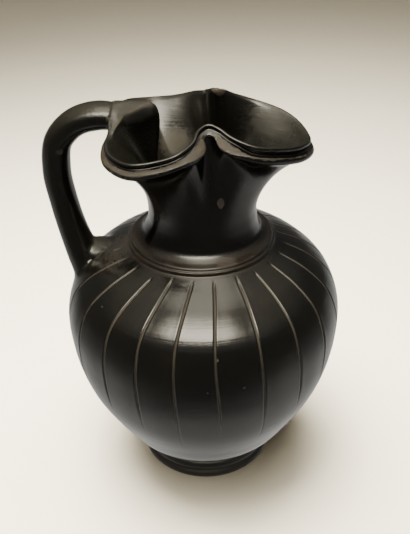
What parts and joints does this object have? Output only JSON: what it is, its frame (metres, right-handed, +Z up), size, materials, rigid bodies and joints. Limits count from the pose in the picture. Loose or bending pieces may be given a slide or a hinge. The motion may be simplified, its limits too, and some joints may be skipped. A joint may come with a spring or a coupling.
{
  "type": "oinochoe",
  "caption": "Black-glazed clay jug with a three-lobed pouring mouth, grooved hollow body, ring foot and a high strap handle.",
  "frame": {"origin": "centre of the bounding box in plan, on the surface that the foot stands on", "axes": "+Z up; +X towards the spout, with the handle on the -X side"},
  "size_m": [0.1133, 0.1087, 0.1596],
  "materials": {
    "black_glaze": "glossy black glaze, worn to olive tan on the edges, in the grooves and on the foot"
  },
  "bodies": {
    "root": {"oinochoe": "black_glaze"}
  },
  "joints": []
}
